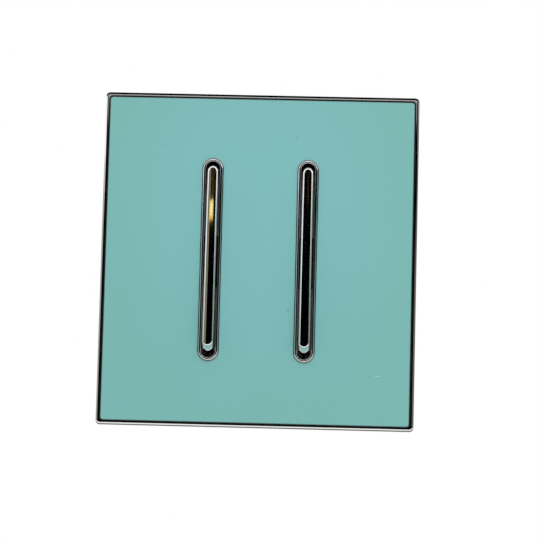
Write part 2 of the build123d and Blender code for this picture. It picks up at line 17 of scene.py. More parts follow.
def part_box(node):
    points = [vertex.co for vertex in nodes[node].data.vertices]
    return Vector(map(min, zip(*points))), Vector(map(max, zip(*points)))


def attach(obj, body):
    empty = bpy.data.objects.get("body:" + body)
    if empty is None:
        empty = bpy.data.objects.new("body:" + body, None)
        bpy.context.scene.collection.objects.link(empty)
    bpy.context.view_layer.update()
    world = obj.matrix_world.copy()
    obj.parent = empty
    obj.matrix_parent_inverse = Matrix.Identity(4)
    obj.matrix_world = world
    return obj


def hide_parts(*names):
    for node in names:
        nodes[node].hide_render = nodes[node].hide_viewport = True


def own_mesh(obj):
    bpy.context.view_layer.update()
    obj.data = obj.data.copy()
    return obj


MM = 0.001
SIDES = ("left", "right")

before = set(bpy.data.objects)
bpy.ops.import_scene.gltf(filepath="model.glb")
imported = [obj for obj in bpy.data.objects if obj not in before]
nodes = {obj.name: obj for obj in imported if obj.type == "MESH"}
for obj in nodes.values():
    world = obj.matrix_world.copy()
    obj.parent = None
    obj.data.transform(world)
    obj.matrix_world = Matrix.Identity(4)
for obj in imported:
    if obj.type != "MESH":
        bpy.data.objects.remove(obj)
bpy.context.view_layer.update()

# %% [markdown]
# ## How a finish is put together
#
# A real surface is never one flat colour. Each finish here starts from a plain shader with its
# fixed values on its own sockets. Small helpers then add what varies over the surface: a slow
# drift between two tones, a roughness that wanders, and a fine relief. All patterns read Object
# coordinates, so they stay on the part when it moves. Image textures could do this too, but
# patterns made by formula stay sharp at any distance.

# %% Helpers for finishes
def start_finish(name, colour, roughness, metallic=0.0):
    """A new material with its fixed values on the shader's own sockets."""
    finish = bpy.data.materials.new(name)
    finish.use_nodes = True
    finish.diffuse_color = (*colour, 1.0)
    shader = finish.node_tree.nodes["Principled BSDF"]
    shader.inputs["Base Color"].default_value = (*colour, 1.0)
    shader.inputs["Roughness"].default_value = roughness
    shader.inputs["Metallic"].default_value = metallic
    return finish


def shader_of(finish):
    return finish.node_tree.nodes["Principled BSDF"]


def noise_pattern(finish, size, detail=3.0):
    """Noise whose features are about one size, in metres."""
    tree = finish.node_tree
    place = tree.nodes.new("ShaderNodeTexCoord")
    noise = tree.nodes.new("ShaderNodeTexNoise")
    noise.inputs["Scale"].default_value = 1.0 / size
    noise.inputs["Detail"].default_value = detail
    tree.links.new(place.outputs["Object"], noise.inputs["Vector"])
    return noise.outputs["Fac"]


def drift_of_tone(finish, pattern, low_colour, high_colour, start=0.35, end=0.65):
    """The base colour drifts between two tones along a pattern."""
    tree = finish.node_tree
    ramp = tree.nodes.new("ShaderNodeValToRGB")
    ramp.color_ramp.elements[0].position = start
    ramp.color_ramp.elements[0].color = (*low_colour, 1.0)
    ramp.color_ramp.elements[1].position = end
    ramp.color_ramp.elements[1].color = (*high_colour, 1.0)
    tree.links.new(pattern, ramp.inputs["Fac"])
    tree.links.new(ramp.outputs["Color"], shader_of(finish).inputs["Base Color"])


def drift_of_roughness(finish, pattern, low, high):
    """The roughness wanders between two values along a pattern."""
    tree = finish.node_tree
    spread = tree.nodes.new("ShaderNodeMapRange")
    spread.inputs["To Min"].default_value = low
    spread.inputs["To Max"].default_value = high
    tree.links.new(pattern, spread.inputs["Value"])
    tree.links.new(spread.outputs["Result"], shader_of(finish).inputs["Roughness"])


def fine_relief(finish, pattern, depth):
    """A bump of a given depth, in metres, along a pattern."""
    tree = finish.node_tree
    bump = tree.nodes.new("ShaderNodeBump")
    bump.inputs["Distance"].default_value = depth
    bump.inputs["Strength"].default_value = 1.0
    tree.links.new(pattern, bump.inputs["Height"])
    tree.links.new(bump.outputs["Normal"], shader_of(finish).inputs["Normal"])


# %% [markdown]
# ## Finishes that know where they are
#
# Some things sit at one place on a part: a pool of colour, a dull edge, a speck. They could be
# painted on an image, but an image has a fixed sharpness. Here the shader measures how far each
# point is from a place or from an edge, and turns that distance into a share between 0 and 1.

# %% Helpers for places on a surface
# The places of a mix node's colour sockets: the first colour, the second and the result.
COLOUR_A, COLOUR_B, COLOUR_OUT = 6, 7, 2


def maths(tree, operation, *values):
    """One sum on sockets or plain numbers."""
    node = tree.nodes.new("ShaderNodeMath")
    node.operation = operation
    for socket, value in zip(node.inputs, values):
        if isinstance(value, bpy.types.NodeSocket):
            tree.links.new(value, socket)
        else:
            socket.default_value = value
    return node.outputs["Value"]


def distance_from(finish, place, half_size):
    """Distance from a place, measured in half widths, so that 1 is the rim of an ellipse."""
    tree = finish.node_tree
    coordinates = tree.nodes.new("ShaderNodeTexCoord")
    shift = tree.nodes.new("ShaderNodeVectorMath")
    shift.operation = "SUBTRACT"
    shift.inputs[1].default_value = place
    scale = tree.nodes.new("ShaderNodeVectorMath")
    scale.operation = "DIVIDE"
    scale.inputs[1].default_value = half_size
    length = tree.nodes.new("ShaderNodeVectorMath")
    length.operation = "LENGTH"
    tree.links.new(coordinates.outputs["Object"], shift.inputs[0])
    tree.links.new(shift.outputs["Vector"], scale.inputs[0])
    tree.links.new(scale.outputs["Vector"], length.inputs[0])
    return length.outputs["Value"]


def distance_from_edge(finish, half_width, half_length, corner):
    """Distance in metres outside an upright rectangle with round corners, less than 0 within it."""
    tree = finish.node_tree
    last = tree.nodes.new("ShaderNodeTexCoord").outputs["Object"]
    steps = (
        ("ABSOLUTE", None),
        ("SUBTRACT", (half_width - corner, 0.0, half_length - corner)),
        ("MAXIMUM", (0.0, 0.0, 0.0)),
        ("MULTIPLY", (1.0, 0.0, 1.0)),
    )
    for operation, value in steps:
        step = tree.nodes.new("ShaderNodeVectorMath")
        step.operation = operation
        if value:
            step.inputs[1].default_value = value
        tree.links.new(last, step.inputs[0])
        last = step.outputs["Vector"]
    length = tree.nodes.new("ShaderNodeVectorMath")
    length.operation = "LENGTH"
    tree.links.new(last, length.inputs[0])
    return maths(tree, "SUBTRACT", length.outputs["Value"], corner)


def share_between(finish, value, start, end):
    """A share that runs smoothly from 0 at a start value to 1 at an end value."""
    tree = finish.node_tree
    spread = tree.nodes.new("ShaderNodeMapRange")
    spread.interpolation_type = "SMOOTHSTEP"
    spread.inputs["From Min"].default_value = start
    spread.inputs["From Max"].default_value = end
    tree.links.new(value, spread.inputs["Value"])
    return spread.outputs["Result"]


def tint(finish, share, colour):
    """Mixes another colour into the base colour, which a pattern already drives, by a share."""
    tree = finish.node_tree
    base = shader_of(finish).inputs["Base Color"]
    mix = tree.nodes.new("ShaderNodeMix")
    mix.data_type = "RGBA"
    mix.inputs[COLOUR_B].default_value = (*colour, 1.0)
    tree.links.new(base.links[0].from_socket, mix.inputs[COLOUR_A])
    tree.links.new(share, mix.inputs["Factor"])
    tree.links.new(mix.outputs[COLOUR_OUT], base)


# %% [markdown]
# ## Who wears what
#
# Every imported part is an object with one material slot. A helper puts a finish into that slot by
# the part's name, and another gives the two names of a part that the switch has left and right.
# Picking the parts by hand in the viewport would do as well, but names can't be missed.

# %% Helpers that dress the parts
def both(name):
    """The names of a part that stands on either side."""
    return [name + "_" + side for side in SIDES]


def dress(finish, *names):
    """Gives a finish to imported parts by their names."""
    for name in names:
        nodes[name].material_slots[0].material = finish
    print(finish.name, "on", ", ".join(names))


# %% [markdown]
# ## Chrome
#
# The frame, the rings and the rockers are plated with bright chrome. It has almost no colour of
# its own: it shows the room. A plain metal shader with a very low roughness does that. A faint
# drift of tone and roughness keeps it from looking computed. The narrow inner edge of the frame
# lies in the gap round the glass, and its chrome is darkened there as painted shade of the gap.

# %% Chrome finish
CHROME_TONE = (0.92, 0.92, 0.92)
CHROME_TONE_DEEP = (0.87, 0.875, 0.88)
CHROME_ROUGHNESS = 0.05
CHROME_SMOOTHEST, CHROME_ROUGHEST = 0.035, 0.065
CHROME_DRIFT_SIZE = 12.0 * MM
CHROME_HAZE_SIZE = 3.0 * MM


def make_chrome(name):
    chrome = start_finish(name, CHROME_TONE, CHROME_ROUGHNESS, metallic=1.0)
    drift_of_tone(chrome, noise_pattern(chrome, CHROME_DRIFT_SIZE), CHROME_TONE_DEEP, CHROME_TONE)
    haze = noise_pattern(chrome, CHROME_HAZE_SIZE, detail=4.0)
    drift_of_roughness(chrome, haze, CHROME_SMOOTHEST, CHROME_ROUGHEST)
    return chrome


PLATE_HALF_WIDTH = 43.0 * MM
PLATE_HALF_LENGTH = 45.5 * MM
FRAME_WALL = 1.15 * MM
OPENING_CORNER = 0.95 * MM
# Painted shade: a dark band on the frame's inner edge, where the gap round the glass lies in shade.
GAP_SHADE_BAND = 0.18 * MM
GAP_SHADE_BAND_END = 0.24 * MM
GAP_SHADE_ON_FRAME = (0.04, 0.05, 0.045)

frame_chrome = make_chrome("frame_chrome")
beyond_opening = distance_from_edge(
    frame_chrome, PLATE_HALF_WIDTH - FRAME_WALL, PLATE_HALF_LENGTH - FRAME_WALL, OPENING_CORNER
)
# Painted shade: the chrome turns dark along the inner edge of the frame, in the gap round the glass.
tint(frame_chrome, share_between(frame_chrome, beyond_opening, GAP_SHADE_BAND_END, GAP_SHADE_BAND), GAP_SHADE_ON_FRAME)
bezel_chrome = make_chrome("bezel_chrome")
rocker_chrome = make_chrome("rocker_chrome")
dress(frame_chrome, "trim_frame")
dress(bezel_chrome, *both("bezel"))
dress(rocker_chrome, *both("rocker_cap"))

# %% [markdown]
# ## Turquoise glass
#
# The panel is clear glass painted on its back. From the front that reads as an even, slightly
# milky turquoise under a hard clear surface. Real glass with a painted plane behind it could be
# modelled with refraction, but it renders slowly and looks the same from here. So the paint is
# the base colour and a clear coat over it is the glass. A wide pool above the middle is painted
# lighter and bluer, a painted pool of light, with random clouds of tone over the whole panel. A
# grey band along the glass edge is painted shade of the gap between the glass and the frame.

# %% Turquoise glass finish
TURQUOISE = (0.216, 0.524, 0.530)
TURQUOISE_DEEP = (0.204, 0.494, 0.458)
PAINT_ROUGHNESS = 0.45
PAINT_SHEEN = 0.3
COAT_SHARE = 0.6
COAT_ROUGHNESS = 0.04
# A painted pool of light: the tone is lighter and bluer above the middle and falls off towards the edges.
LIGHT_POOL_CENTRE = (0.0, 0.0, 12.0 * MM)
LIGHT_POOL_HALF_SIZE = (56.0 * MM, 1.0, 70.0 * MM)
LIGHT_POOL_RIM, LIGHT_POOL_HEART = 0.85, 0.25
LIGHT_POOL_SHARE = 0.65
CLOUD_SIZE = 12.0 * MM
# Painted shade of the gap round the glass: a grey band along the panel's outer edge.
GLASS_EDGE_SHADE = (0.19, 0.27, 0.26)
PANEL_EDGE = 1.30 * MM
PANEL_CORNER = 0.80 * MM
GLASS_SHADE_BAND, GLASS_SHADE_BAND_END = -0.24 * MM, -0.12 * MM

glass = start_finish("turquoise_glass", TURQUOISE, PAINT_ROUGHNESS)
shader_of(glass).inputs["Coat Weight"].default_value = COAT_SHARE
shader_of(glass).inputs["Coat Roughness"].default_value = COAT_ROUGHNESS
shader_of(glass).inputs["Specular IOR Level"].default_value = PAINT_SHEEN
# Painted light: the pool of light and the random clouds together set the share of the lighter tone.
light_pool = share_between(glass, distance_from(glass, LIGHT_POOL_CENTRE, LIGHT_POOL_HALF_SIZE), LIGHT_POOL_RIM, LIGHT_POOL_HEART)
share = maths(glass.node_tree, "MULTIPLY", light_pool, LIGHT_POOL_SHARE)
clouds = noise_pattern(glass, CLOUD_SIZE, detail=6.0)
share = maths(glass.node_tree, "MULTIPLY_ADD", clouds, 1.0 - LIGHT_POOL_SHARE, share)
drift_of_tone(glass, share, TURQUOISE_DEEP, TURQUOISE, start=0.10, end=0.90)
# Painted shade: the glass turns grey along its outer edge, next to the gap to the frame.
beyond_panel = distance_from_edge(
    glass, PLATE_HALF_WIDTH - PANEL_EDGE, PLATE_HALF_LENGTH - PANEL_EDGE, PANEL_CORNER
)
tint(glass, share_between(glass, beyond_panel, GLASS_SHADE_BAND, GLASS_SHADE_BAND_END), GLASS_EDGE_SHADE)

# %% [markdown]
# ## Marks of use
#
# The photograph shows three dark specks, a light scratch and a nick on the glass. Each is a small
# ellipse at its own place, with a colour and a strength. A painted mask could hold them all, but
# a short list is easier to read and to change.

# %% Specks and a scratch on the glass
FACE_DEPTH = -8.0 * MM
MARK_DEPTH = 0.5 * MM
DARK_SPECK = (0.03, 0.12, 0.11)
FAINT_SPECK = (0.05, 0.12, 0.12)
LIGHT_SCRATCH = (0.55, 0.75, 0.75)
MARK_RIM, MARK_HEART = 1.0, 0.5
# Each mark: its place across and up, its half size (both in millimetres), colour and strength.
MARKS = {
    "speck by the right ring": ((8.4, -13.5), (0.34, 0.20), DARK_SPECK, 0.85),
    "speck high on the panel": ((9.7, 33.8), (0.30, 0.30), FAINT_SPECK, 0.45),
    "speck high on the left": ((-27.0, 31.0), (0.30, 0.20), FAINT_SPECK, 0.45),
    "light scratch low on the right": ((32.9, -30.75), (1.35, 0.13), LIGHT_SCRATCH, 0.55),
    "light nick beside the scratch": ((36.1, -31.75), (0.25, 0.15), LIGHT_SCRATCH, 0.45),
}

for label, ((x, z), (half_x, half_z), colour, strength) in MARKS.items():
    spot = distance_from(glass, (x * MM, FACE_DEPTH, z * MM), (half_x * MM, MARK_DEPTH, half_z * MM))
    share = share_between(glass, spot, MARK_RIM, MARK_HEART)
    tint(glass, maths(glass.node_tree, "MULTIPLY", share, strength), colour)
    print("mark:", label)
dress(glass, "front_panel")

# %% [markdown]
# ## Moulded plastics
#
# The carrier behind the glass and the rocker cradles are black, the switch module is off-white
# and the small plungers are red. Moulded plastic has a fine eroded grain from the tool and a
# soft sheen. One loop makes them all from a table of tones and roughness.

# %% Plastic finishes
PLASTIC_DRIFT_SIZE = 8.0 * MM
GRAIN_SIZE = 0.35 * MM
GRAIN_DEPTH = 0.012 * MM
GRAIN_SPREAD = 0.08
# Each plastic: its tone, the deeper tone that it drifts to, its roughness and its parts.
PLASTICS = {
    "carrier_plastic": ((0.030, 0.030, 0.032), (0.022, 0.022, 0.024), 0.50, ["panel_carrier"]),
    "cradle_plastic": ((0.035, 0.035, 0.037), (0.025, 0.025, 0.027), 0.42, both("rocker_cradle")),
    "cover_plastic": ((0.72, 0.72, 0.68), (0.70, 0.70, 0.66), 0.48, ["mechanism_cover"]),
    "housing_plastic": ((0.74, 0.74, 0.70), (0.715, 0.715, 0.675), 0.50, ["rear_housing"]),
    "plunger_plastic": ((0.55, 0.10, 0.06), (0.46, 0.08, 0.05), 0.30, both("plunger")),
}

for name, (tone, deep_tone, roughness, parts) in PLASTICS.items():
    plastic = start_finish(name, tone, roughness)
    drift_of_tone(plastic, noise_pattern(plastic, PLASTIC_DRIFT_SIZE, detail=4.0), deep_tone, tone)
    grain = noise_pattern(plastic, GRAIN_SIZE, detail=2.0)
    drift_of_roughness(plastic, grain, roughness - GRAIN_SPREAD, roughness + GRAIN_SPREAD)
    fine_relief(plastic, grain, GRAIN_DEPTH)
    dress(plastic, *parts)

# %% [markdown]
# ## Plated, drawn and pressed metals
#
# The yoke, the cages and the screws are zinc-plated steel, with the faint cloudy spangle of the
# plating. The strips are brass, the blades a copper alloy and the contact buttons silver. They
# differ in tone, in how rough they are and in the size of their clouding, so one loop over a
# table of those values makes them.

# %% Metal finishes
METAL_GRAIN_SIZE = 0.4 * MM
METAL_GRAIN_DEPTH = 0.004 * MM
SCREWS = ["terminal_screws", "housing_screws"]
CONTACTS = ["fixed_contacts", *both("moving_contacts")]
STRIPS = [*both("upper_strip"), *both("lower_strip"), *both("common_strip")]
# Each metal: its tone, its deeper tone, clouding in millimetres, least and most roughness, parts.
METALS = {
    "zinc_steel": ((0.62, 0.62, 0.62), (0.57, 0.57, 0.58), 3.0, (0.32, 0.42), ["mounting_yoke"]),
    "cage_steel": ((0.60, 0.58, 0.52), (0.50, 0.48, 0.42), 2.0, (0.30, 0.45), ["terminal_cages"]),
    "screw_steel": ((0.66, 0.64, 0.56), (0.54, 0.52, 0.45), 1.5, (0.25, 0.40), SCREWS),
    "pin_steel": ((0.62, 0.62, 0.63), (0.54, 0.54, 0.56), 2.0, (0.18, 0.28), both("pivot_pin")),
    "spring_steel": ((0.45, 0.45, 0.46), (0.36, 0.36, 0.38), 1.0, (0.25, 0.38), both("plunger_spring")),
    "blade_copper": ((0.74, 0.42, 0.28), (0.62, 0.33, 0.22), 3.0, (0.22, 0.38), both("contact_blade")),
    "contact_silver": ((0.82, 0.82, 0.80), (0.70, 0.70, 0.69), 1.0, (0.25, 0.40), CONTACTS),
    "strip_brass": ((0.78, 0.62, 0.32), (0.66, 0.50, 0.25), 3.0, (0.22, 0.36), STRIPS),
}

metals = {}
for name, (tone, deep_tone, cloud_size, (smoothest, roughest), parts) in METALS.items():
    metal = start_finish(name, tone, roughest, metallic=1.0)
    clouds = noise_pattern(metal, cloud_size * MM, detail=5.0)
    drift_of_tone(metal, clouds, deep_tone, tone)
    drift_of_roughness(metal, clouds, roughest, smoothest)
    fine_relief(metal, noise_pattern(metal, METAL_GRAIN_SIZE, detail=2.0), METAL_GRAIN_DEPTH)
    dress(metal, *parts)
    metals[name] = metal

# %% [markdown]
# ## A profile swept along a path
#
# Each rocker stands in a chrome ring with a stepped double bead. The real ring is one casting,
# turned and polished. Its section is the same all the way round, so it can be drawn once and
# swept along the edge of the slot. A Geometry Nodes tree does that: it makes the slot's
# outline from named sizes, sweeps the section along it and turns the result upright. The
# solid's own mesh has short flat facets at the round ends, and the sweep makes them smooth.

# %% Section of the ring
BEAD_STEP = 0.45 * MM
LIP_RISE = 0.40 * MM
LIP_BAND = 0.70 * MM
RING_BAND = 0.95 * MM
OUTER_ROUND = 0.06 * MM
LIP_ROUND = 0.36 * MM
INNER_ROUND = 0.15 * MM
HOLD = 0.01 * MM
LONG_RUN = 5 * HOLD
COLLAR_WALL = 0.55 * MM
COLLAR_DEPTH = 2.50 * MM
ROUND_STEPS = 8


def round_corner(centre_x, centre_y, radius, start=0.0):
    """Points of a quarter circle in a section's plane, clockwise from a start angle."""
    turns = [start + pi / 2 * step / ROUND_STEPS for step in range(ROUND_STEPS + 1)]
    return [(centre_x + radius * sin(turn), centre_y - radius * cos(turn)) for turn in turns]


def held(points):
    """Adds two points near the ends of each long straight run, so that shading keeps it flat."""
    result = []
    for (x0, y0), (x1, y1) in zip(points, points[1:] + points[:1]):
        length = hypot(x1 - x0, y1 - y0)
        result.append((x0, y0))
        if length > LONG_RUN:
            for share in (HOLD / length, 1 - HOLD / length):
                result.append((x0 + (x1 - x0) * share, y0 + (y1 - y0) * share))
    return result


def section_curve(name, points, closed):
    """A helper curve that holds a section: X outwards from the path, Y into the part."""
    curve = bpy.data.curves.new(name, "CURVE")
    spline = curve.splines.new("POLY")
    spline.points.add(len(points) - 1)
    for point, (x, y) in zip(spline.points, points):
        point.co = (x, y, 0.0, 1.0)
    spline.use_cyclic_u = closed
    section = bpy.data.objects.new(name, curve)
    bpy.context.collection.objects.link(section)
    return section


lip_top = -(BEAD_STEP + LIP_RISE)
ring_section = section_curve(
    "ring_section",
    held(
        [(0.0, COLLAR_DEPTH)]
        + round_corner(INNER_ROUND, lip_top + INNER_ROUND, INNER_ROUND, start=-pi / 2)
        + round_corner(LIP_BAND - LIP_ROUND, lip_top + LIP_ROUND, LIP_ROUND)
        + [(LIP_BAND, -BEAD_STEP)]
        + round_corner(RING_BAND - OUTER_ROUND, OUTER_ROUND - BEAD_STEP, OUTER_ROUND)
        + [(RING_BAND, 0.0), (COLLAR_WALL, 0.0), (COLLAR_WALL, COLLAR_DEPTH)]
    ),
    closed=True,
)
print("ring section points:", len(ring_section.data.splines[0].points))

# %% [markdown]
# ## Trees built by a script
#
# A Geometry Nodes tree is a recipe: it takes named sizes and gives a mesh. It is usually wired
# by hand in the editor. Written out here it can be read from top to bottom and made again at any
# time. These helpers start a tree, add a wired node, sweep a section along a path, shade the
# result and, at the end, keep it as a plain mesh that belongs to a moving body.

# %% Helpers for node trees
SHARP_FROM = radians(35.0)


def new_tree(name, inputs):
    """A tree with named inputs and one geometry output, and its two end nodes."""
    tree = bpy.data.node_groups.new(name, "GeometryNodeTree")
    tree.interface.new_socket("Geometry", in_out="INPUT", socket_type="NodeSocketGeometry")
    for label, kind in inputs:
        tree.interface.new_socket(label, in_out="INPUT", socket_type="NodeSocket" + kind)
    tree.interface.new_socket("Geometry", in_out="OUTPUT", socket_type="NodeSocketGeometry")
    return tree, tree.nodes.new("NodeGroupInput"), tree.nodes.new("NodeGroupOutput")


def add_node(tree, kind, links=(), **values):
    """A node with its settings, plain values and incoming links."""
    node = tree.nodes.new(kind)
    for label, value in values.items():
        setattr(node, label, value)
    for label, source in links:
        if isinstance(source, bpy.types.NodeSocket):
            tree.links.new(source, node.inputs[label])
        else:
            node.inputs[label].default_value = source
    return node


def swept(tree, path, section):
    """Sweeps the curve of a section object along a path, without letting it twist."""
    upright = add_node(tree, "GeometryNodeSetCurveNormal", [("Curve", path)], mode="Z_UP")
    profile = add_node(tree, "GeometryNodeObjectInfo", [("Object", section)])
    links = [("Curve", upright.outputs[0]), ("Profile Curve", profile.outputs["Geometry"])]
    return add_node(tree, "GeometryNodeCurveToMesh", links).outputs[0]


def smooth_with_edges(tree, shape):
    """Smooth shading that keeps a crisp line where two faces meet at a wide angle."""
    smooth = add_node(tree, "GeometryNodeSetShadeSmooth", [("Geometry", shape)])
    angle = add_node(tree, "GeometryNodeInputMeshEdgeAngle")
    wide = add_node(tree, "FunctionNodeCompare", [("A", angle.outputs[0]), ("B", SHARP_FROM)])
    wide.operation = "GREATER_THAN"
    links = [("Geometry", smooth.outputs[0]), ("Selection", wide.outputs[0]), ("Shade Smooth", False)]
    return add_node(tree, "GeometryNodeSetShadeSmooth", links, domain="EDGE").outputs[0]


def end_tree(tree, tree_in, tree_out, shape):
    """Makes a shape real, gives it the finish and hands it to the output of its tree."""
    whole = add_node(tree, "GeometryNodeRealizeInstances", [("Geometry", shape)])
    links = [("Geometry", whole.outputs[0]), ("Material", tree_in.outputs["Finish"])]
    coated = add_node(tree, "GeometryNodeSetMaterial", links)
    tree.links.new(coated.outputs[0], tree_out.inputs[0])
    print(tree.name, "nodes:", len(tree.nodes))


def finished_mesh(name, start_mesh, tree, values, body):
    """Runs a tree on an object, keeps the result as a plain mesh and lets it ride on a body."""
    piece = bpy.data.objects.new(name, start_mesh)
    bpy.context.collection.objects.link(piece)
    modifier = piece.modifiers.new("build", "NODES")
    modifier.node_group = tree
    inputs = [item for item in tree.interface.items_tree if item.in_out == "INPUT"]
    sockets = {item.name: item.identifier for item in inputs}
    for label, value in values.items():
        modifier[sockets[label]] = value
    graph = bpy.context.evaluated_depsgraph_get()
    result = bpy.data.meshes.new_from_object(piece.evaluated_get(graph))
    piece.modifiers.remove(modifier)
    piece.data = result
    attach(piece, body)
    print(name, "faces:", len(result.polygons))
    return piece


# %% [markdown]
# ## The ring's tree
#
# The path is a rectangle whose corners are rounded by half its width, which makes the ends full
# half circles. The half is taken a hair small, because two corners that just meet would leave
# double points. The sweep lies flat at first and is then tipped upright and moved to its place.

# %% Tree that sweeps a section round a slot
ALMOST_HALF = 0.4999

ring_tree, ring_in, ring_out = new_tree(
    "slot_ring",
    [
        ("Slot Width", "Float"),
        ("Slot Length", "Float"),
        ("End Steps", "Int"),
        ("Place", "Vector"),
        ("Section", "Object"),
        ("Finish", "Material"),
    ],
)
outline = add_node(
    ring_tree,
    "GeometryNodeCurvePrimitiveQuadrilateral",
    [("Width", ring_in.outputs["Slot Width"]), ("Height", ring_in.outputs["Slot Length"])],
)
end_radius = add_node(
    ring_tree,
    "ShaderNodeMath",
    [(0, ring_in.outputs["Slot Width"]), (1, ALMOST_HALF)],
    operation="MULTIPLY",
)
rounded = add_node(
    ring_tree,
    "GeometryNodeFilletCurve",
    [
        ("Curve", outline.outputs[0]),
        ("Count", ring_in.outputs["End Steps"]),
        ("Radius", end_radius.outputs[0]),
    ],
    mode="POLY",
)
flat_ring = smooth_with_edges(ring_tree, swept(ring_tree, rounded.outputs[0], ring_in.outputs["Section"]))
turned = add_node(
    ring_tree,
    "GeometryNodeTransform",
    [("Geometry", flat_ring), ("Translation", ring_in.outputs["Place"]), ("Rotation", (pi / 2, 0.0, 0.0))],
)
end_tree(ring_tree, ring_in, ring_out, turned.outputs[0])

# %% [markdown]
# ## Rings in place
#
# The solids of the rings tell where the new ones go and how big they are, so the two can't drift
# apart. Each new ring takes the place of its solid, which then no longer shows.

# %% Two finished rings
RING_END_STEPS = 24

for side in SIDES:
    low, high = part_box("bezel_" + side)
    values = {
        "Slot Width": high.x - low.x - 2 * RING_BAND,
        "Slot Length": high.z - low.z - 2 * RING_BAND,
        "End Steps": RING_END_STEPS,
        "Place": ((low.x + high.x) / 2, low.y - lip_top, 0.0),
        "Section": ring_section,
        "Finish": bezel_chrome,
    }
    start = bpy.data.meshes.new("ring_" + side)
    ring = finished_mesh("ring_" + side, start, ring_tree, values, "root")
    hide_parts("bezel_" + side)
bpy.data.objects.remove(ring_section)

# %% [markdown]
# ## One screw, placed six times
#
# The six clamp screws are alike: a round head with a small rim chamfer, a straight slot and a
# thick shank. One screw is made by turning its half section about its axis and cutting the slot
# out of it. The tree then sets it on six points and gives each a turn of its own, because no
# fitter leaves six slots in line. Copying the screw by hand would do too, but this way one size
# changes all six. The half section is drawn first.

# %% Half section of the clamp screw
HEAD_RADIUS = 2.30 * MM
HEAD_HEIGHT = 1.80 * MM
HEAD_CHAMFER = 0.25 * MM
SHANK_RADIUS = 1.45 * MM
SHANK_LENGTH = 2.30 * MM
SLOT_WIDTH = 0.80 * MM
SLOT_DEPTH = 0.90 * MM
TURN_RADIUS = 1.00 * MM
SCREW_STEPS = 48

screw_section = section_curve(
    "screw_section",
    [
        (x - TURN_RADIUS, y)
        for x, y in (
            (0.0, 0.0),
            (HEAD_RADIUS - HEAD_CHAMFER, 0.0),
            (HEAD_RADIUS, HEAD_CHAMFER),
            (HEAD_RADIUS, HEAD_HEIGHT),
            (SHANK_RADIUS, HEAD_HEIGHT),
            (SHANK_RADIUS, HEAD_HEIGHT + SHANK_LENGTH),
            (0.0, HEAD_HEIGHT + SHANK_LENGTH),
        )
    ],
    closed=False,
)
print("screw section points:", len(screw_section.data.splines[0].points))

# %% [markdown]
# ## The screw's tree
#
# The section is swept round a small circle, which turns it into a solid of revolution. Points on
# the axis fall together and are merged, so that the mesh is closed and the slot can be cut out
# of it with a bar. The random turn has a fixed seed, so it comes out the same every time.

# %% Tree that makes one screw and sets it on points
MERGE_WITHIN = 0.001 * MM

screw_tree, screw_in, screw_out = new_tree(
    "clamp_screws",
    [
        ("Turn Radius", "Float"),
        ("Steps", "Int"),
        ("Slot Size", "Vector"),
        ("Seed", "Int"),
        ("Section", "Object"),
        ("Finish", "Material"),
    ],
)
circle = add_node(
    screw_tree,
    "GeometryNodeCurvePrimitiveCircle",
    [("Resolution", screw_in.outputs["Steps"]), ("Radius", screw_in.outputs["Turn Radius"])],
)
turned_screw = swept(screw_tree, circle.outputs[0], screw_in.outputs["Section"])
closed_screw = add_node(
    screw_tree, "GeometryNodeMergeByDistance", [("Geometry", turned_screw), ("Distance", MERGE_WITHIN)]
)
slot_bar = add_node(screw_tree, "GeometryNodeMeshCube", [("Size", screw_in.outputs["Slot Size"])])
slotted = add_node(
    screw_tree,
    "GeometryNodeMeshBoolean",
    [("Mesh 1", closed_screw.outputs[0]), ("Mesh 2", slot_bar.outputs[0])],
    operation="DIFFERENCE",
    solver="EXACT",
)
edged_screw = smooth_with_edges(screw_tree, slotted.outputs[0])
any_turn = add_node(
    screw_tree,
    "FunctionNodeRandomValue",
    [(0, (-pi / 2, 0.0, 0.0)), (1, (-pi / 2, pi, 0.0)), ("Seed", screw_in.outputs["Seed"])],
    data_type="FLOAT_VECTOR",
)
placed = add_node(
    screw_tree,
    "GeometryNodeInstanceOnPoints",
    [("Points", screw_in.outputs["Geometry"]), ("Instance", edged_screw), ("Rotation", any_turn.outputs[0])],
)
end_tree(screw_tree, screw_in, screw_out, placed.outputs[0])

# %% [markdown]
# ## Screws in place
#
# Three terminals lie above the middle and three below. The outer ones are mirror images, and the
# common one sits off the middle, to the left above and to the right below. The six places are
# points of a small mesh that the tree starts from.

# %% Six finished clamp screws
SCREW_ACROSS = 12.97 * MM
SCREW_UP = 20.80 * MM
COMMON_SCREW_ACROSS = 4.00 * MM
SCREW_SEED = 7

screw_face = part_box("terminal_screws")[1].y
screw_places = [
    (x, screw_face, z)
    for x, z in (
        (-SCREW_ACROSS, SCREW_UP),
        (SCREW_ACROSS, SCREW_UP),
        (-COMMON_SCREW_ACROSS, SCREW_UP),
        (-SCREW_ACROSS, -SCREW_UP),
        (SCREW_ACROSS, -SCREW_UP),
        (COMMON_SCREW_ACROSS, -SCREW_UP),
    )
]
start = bpy.data.meshes.new("clamp_screws")
start.from_pydata(screw_places, [], [])
values = {
    "Turn Radius": TURN_RADIUS,
    "Steps": SCREW_STEPS,
    "Slot Size": (3 * HEAD_RADIUS, SLOT_WIDTH, 2 * SLOT_DEPTH),
    "Seed": SCREW_SEED,
    "Section": screw_section,
    "Finish": metals["screw_steel"],
}
screws = finished_mesh("clamp_screws", start, screw_tree, values, "root")
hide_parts("terminal_screws")
bpy.data.objects.remove(screw_section)

# %% [markdown]
# ## A coil spring
# A small coil spring pushes each red plunger. Its wire follows a helix, so a spiral curve
# with a round wire swept along it gives the whole spring, with its cut ends closed. When the
# plunger slides in, the spring has to shorten towards the roof of its tube. The finished mesh
# rides on the rocker at one fixed length.

# %% Tree that winds a coil spring
WIRE_STEPS = 16

